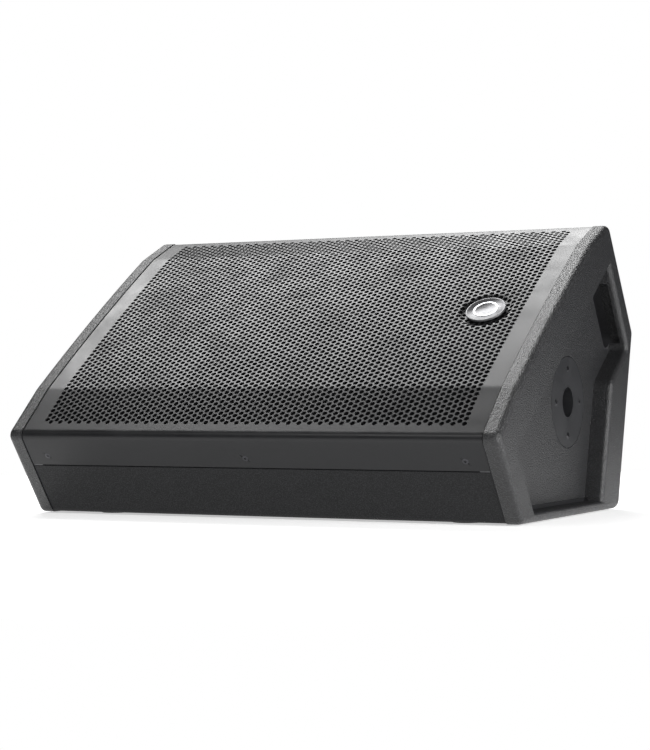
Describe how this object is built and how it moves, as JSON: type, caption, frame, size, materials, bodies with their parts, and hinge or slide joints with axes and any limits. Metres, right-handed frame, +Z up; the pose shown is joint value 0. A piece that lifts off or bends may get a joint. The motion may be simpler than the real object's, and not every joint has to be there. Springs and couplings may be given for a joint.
{
  "type": "stage monitor wedge",
  "caption": "Floor wedge loudspeaker: plywood cabinet between textured end caps with hand recesses, folded steel grille, coaxial driver, rear amplifier and a side pole socket.",
  "frame": {"origin": "on the floor under the middle of the whole wedge", "axes": "+X along the length to the end with the pole socket, +Y from the low nose to the rear, +Z up"},
  "size_m": [0.646, 0.449, 0.3514],
  "materials": {
    "painted_shell": "black textured paint on structural foam, orange-peel grain",
    "painted_board": "birch plywood under black textured paint",
    "bare_board": "plywood stained black",
    "grille_steel": "black powder coat, satin",
    "grille_foam": "open-cell black foam",
    "badge_metal": "satin grey, plain, no mark",
    "socket_steel": "black satin powder coat",
    "socket_tube": "black satin, worn at the mouth",
    "black_screws": "black oxide",
    "pocket_plastic": "moulded, fine grain",
    "foot_rubber": "matte",
    "lining": "felted polyester wadding",
    "port_plastic": "moulded",
    "basket_alloy": "pressed steel, black powder coat",
    "gasket_rubber": "closed-cell foam",
    "motor_steel": "zinc plated, satin",
    "magnet": "sintered ferrite, matte",
    "coil": "varnished copper wire",
    "cone_paper": "black pressed paper pulp",
    "surround_rubber": "doped cloth",
    "spider_cloth": "resin-treated cotton",
    "horn_plastic": "moulded, satin",
    "hf_cover": "black, satin",
    "diaphragm": "thin formed sheet",
    "amp_metal": "black fine-textured powder coat",
    "heatsink_alloy": "extruded, anodised",
    "circuit_board": "green solder mask",
    "components": "moulded packages",
    "standoff_brass": "plated",
    "transformer": "taped winding",
    "connector_black": "glass-filled nylon",
    "latch_plastic": "nylon",
    "knob_plastic": "soft-touch black",
    "button_plastic": "dark grey",
    "rocker_plastic": "gloss black",
    "led_lens": "translucent green"
  },
  "bodies": {
    "cabinet": {"right_end_cap": "painted_shell", "left_end_cap": "painted_shell", "end_cap_screws": "black_screws", "right_side_board": "painted_board", "left_side_board": "painted_board", "right_hand_pocket": "pocket_plastic", "left_hand_pocket": "pocket_plastic", "pole_socket_plate": "socket_steel", "pole_socket_cup": "socket_tube", "pole_socket_screws": "black_screws", "lower_front_panel": "painted_board", "bottom_panel": "painted_board", "rear_lower_panel": "painted_board", "rear_upper_panel": "painted_board", "rubber_feet": "foot_rubber", "baffle_board": "bare_board", "grille_rails": "bare_board", "grille": "grille_steel", "grille_foam": "grille_foam", "grille_screws": "black_screws", "badge": "badge_metal", "floor_lining": "lining", "rear_lining": "lining", "left_port": "port_plastic", "right_port": "port_plastic", "woofer_basket": "basket_alloy", "woofer_gasket": "gasket_rubber", "woofer_screws": "black_screws", "woofer_top_plate": "motor_steel", "woofer_magnet": "magnet", "woofer_yoke": "motor_steel", "hf_horn": "horn_plastic", "compression_driver": "hf_cover", "hf_diaphragm": "diaphragm", "amp_plate": "amp_metal", "amp_gasket": "gasket_rubber", "amp_screws": "black_screws", "amp_heatsink": "heatsink_alloy", "amp_board": "circuit_board", "amp_components": "components", "board_standoffs": "standoff_brass", "power_transformer": "transformer", "transformer_bolt": "black_screws", "input_jack": "connector_black", "link_jack": "connector_black", "volume_control": "connector_black", "button_switches": "connector_black", "status_led": "led_lens", "power_switch": "connector_black", "mains_inlet": "connector_black"},
    "woofer_cone_assembly": {"woofer_cone": "cone_paper", "voice_coil": "coil", "woofer_surround": "surround_rubber", "woofer_spider": "spider_cloth"},
    "volume_knob": {"volume_knob": "knob_plastic"},
    "lift_button": {"lift_button": "button_plastic"},
    "eq_button": {"eq_button": "button_plastic"},
    "power_rocker": {"power_rocker": "rocker_plastic"},
    "input_latch": {"input_latch": "latch_plastic"}
  },
  "joints": [
    {"name": "cone_travel", "type": "slide", "parent": "cabinet", "child": "woofer_cone_assembly", "axis": [0, -0.5725, 0.8199], "range_m": [-0.004, 0.004], "stiffness_N_per_m": 4000, "deforming": ["woofer_surround", "woofer_spider"]},
    {"name": "volume_turn", "type": "hinge", "parent": "cabinet", "child": "volume_knob", "pos_m": [0.018, 0.20132, 0.13721], "axis": [0, 0.9673, -0.2536], "range_deg": [-150, 150]},
    {"name": "lift_press", "type": "slide", "parent": "cabinet", "child": "lift_button", "axis": [0, -0.9673, 0.2536], "range_m": [0, 0.002], "stiffness_N_per_m": 500},
    {"name": "eq_press", "type": "slide", "parent": "cabinet", "child": "eq_button", "axis": [0, -0.9673, 0.2536], "range_m": [0, 0.002], "stiffness_N_per_m": 500},
    {"name": "power_tilt", "type": "hinge", "parent": "cabinet", "child": "power_rocker", "pos_m": [-0.1055, 0.19943, 0.14184], "axis": [-1, 0, 0], "range_deg": [-18, 0]},
    {"name": "latch_press", "type": "slide", "parent": "cabinet", "child": "input_latch", "axis": [0, -0.9673, 0.2536], "range_m": [0, 0.0015], "stiffness_N_per_m": 800}
  ]
}
